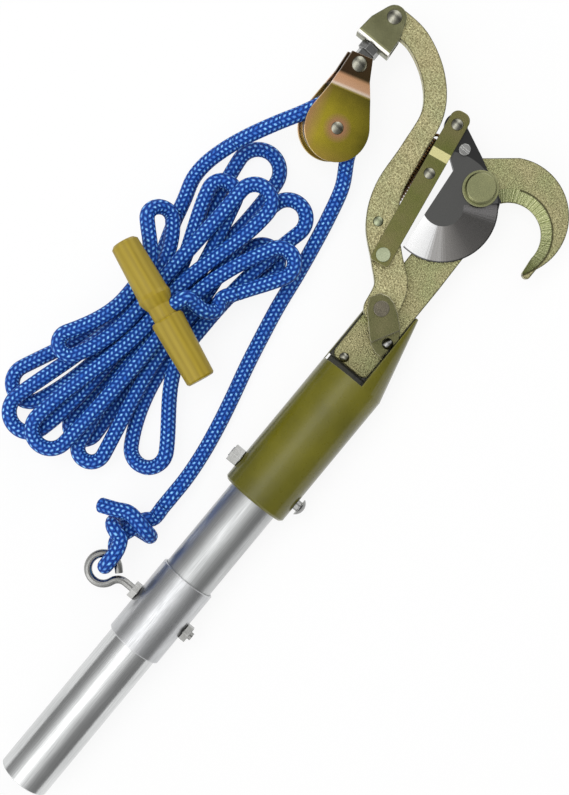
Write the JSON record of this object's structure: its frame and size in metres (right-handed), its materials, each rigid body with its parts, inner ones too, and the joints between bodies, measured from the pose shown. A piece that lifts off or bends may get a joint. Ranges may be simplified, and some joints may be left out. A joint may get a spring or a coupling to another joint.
{
  "type": "tree pruner pole head",
  "caption": "Rope-worked tree pruner head on a short jointed aluminium pole: hook jaw, curved blade, pull lever, link, swivel pulley, and a hank of rope with a wooden handle.",
  "frame": {"origin": "centre of the open mouth of the lower tube, on the pole axis", "axes": "+Y runs up the pole from the open mouth to the cutting head, +Z is the normal of the cutting plane (the pruner lies on its back), +X is to the right of the pole"},
  "size_m": [0.2052, 0.4835, 0.0485],
  "materials": {
    "tube_bright": "polished drawn aluminium",
    "tube_satin": "satin drawn aluminium",
    "sleeve_alloy": "bright turned aluminium",
    "bright_zinc": "bright zinc plate",
    "green_paint": "gloss olive green paint on a casting",
    "forged_gold": "yellow zinc plate on a forging, grainy",
    "strap_gold": "yellow zinc plate on sheet steel",
    "blade_steel": "hardened blade steel with a ground bevel",
    "rivet_steel": "zinc plated rivets",
    "spring_steel": "dark spring wire",
    "clevis_zinc": "pale zinc plate",
    "cheek_dichromate": "iridescent dichromate plate",
    "sheave_grey": "turned steel",
    "rope_blue": "solid braid synthetic rope",
    "handle_wood": "varnished hardwood"
  },
  "bodies": {
    "pole": {"lower_tube": "tube_bright", "upper_tube": "tube_satin", "joint_sleeve": "sleeve_alloy", "eye_hook_bolt": "bright_zinc", "eye_jam_nut": "bright_zinc", "eye_end_nut": "bright_zinc", "head_adapter": "green_paint", "adapter_bolt": "bright_zinc", "adapter_nut": "bright_zinc", "hook_plate": "forged_gold", "tail_rivet": "rivet_steel", "pivot_bridge": "strap_gold", "bridge_screw": "bright_zinc", "lever_pivot_bolt": "rivet_steel", "lever_pivot_nut": "bright_zinc", "blade_pivot_bolt": "forged_gold", "blade_pivot_washer": "strap_gold", "blade_pivot_nut": "bright_zinc", "rope_knot": "rope_blue", "rope_fall": "rope_blue"},
    "lever": {"pull_lever": "forged_gold", "spring_rivet": "rivet_steel", "return_spring": "spring_steel"},
    "cutter": {"blade": "blade_steel", "blade_screw": "bright_zinc"},
    "link": {"link_strap": "strap_gold", "lever_end_rivet": "rivet_steel", "blade_end_rivet": "rivet_steel", "spring_post": "rivet_steel"},
    "yoke": {"clevis": "clevis_zinc", "clevis_rivet": "rivet_steel"},
    "stud": {"swivel_stud": "bright_zinc", "stud_nut": "bright_zinc"},
    "block": {"front_cheek": "cheek_dichromate", "rear_cheek": "cheek_dichromate", "block_rivet": "rivet_steel", "sheave_axle": "rivet_steel", "rope_turn": "rope_blue"},
    "wheel": {"sheave": "sheave_grey"},
    "hank": {"rope_hank": "rope_blue", "rope_wrap": "rope_blue", "rope_handle": "handle_wood", "rope_lead": "rope_blue"}
  },
  "joints": [
    {"name": "lever_swing", "type": "hinge", "parent": "pole", "child": "lever", "pos_m": [-0.0135, 0.342, 0.00605], "axis": [0, 0, 1], "range_deg": [0, 99], "stiffness_Nm_per_rad": 0.2, "deforming": ["rope_fall", "rope_lead", "return_spring"]},
    {"name": "blade_swing", "type": "hinge", "parent": "pole", "child": "cutter", "pos_m": [-0.0135, 0.4325, 0.0048], "axis": [0, 0, 1], "range_deg": [0, 72.5]},
    {"name": "link_swing", "type": "hinge", "parent": "lever", "child": "link", "pos_m": [-0.0325, 0.3665, 0.00605], "axis": [0, 0, 1], "range_deg": [-106, 0]},
    {"name": "yoke_swing", "type": "hinge", "parent": "lever", "child": "yoke", "pos_m": [-0.1145, 0.476, 0.00605], "axis": [0, 0, 1], "range_deg": [-100, 0]},
    {"name": "stud_swivel", "type": "hinge", "parent": "yoke", "child": "stud", "pos_m": [-0.1145, 0.456, 0.00605], "axis": [0, 1, 0], "range_deg": [-35, 10], "deforming": ["rope_fall", "rope_lead"]},
    {"name": "block_swing", "type": "hinge", "parent": "stud", "child": "block", "pos_m": [-0.1145, 0.4425, 0.00605], "axis": [0.309, 0, 0.9511], "range_deg": [-15, 12], "deforming": ["rope_fall", "rope_lead"]},
    {"name": "sheave_spin", "type": "hinge", "parent": "block", "child": "wheel", "pos_m": [-0.10198, 0.40632, 0.00198], "axis": [0.309, 0, 0.9511], "continuous": true},
    {"name": "rope_pull", "type": "slide", "parent": "pole", "child": "hank", "axis": [-0.2419, -0.9703, 0], "range_m": [0, 0.256], "deforming": ["rope_fall", "rope_lead"]}
  ],
  "couplings": [
    {"joint": "blade_swing", "follows": "lever_swing", "ratio": 0.725},
    {"joint": "link_swing", "follows": "lever_swing", "ratio": -1.06},
    {"joint": "yoke_swing", "follows": "lever_swing", "ratio": -1},
    {"joint": "rope_pull", "follows": "lever_swing", "m_per_rad": 0.14648}
  ]
}
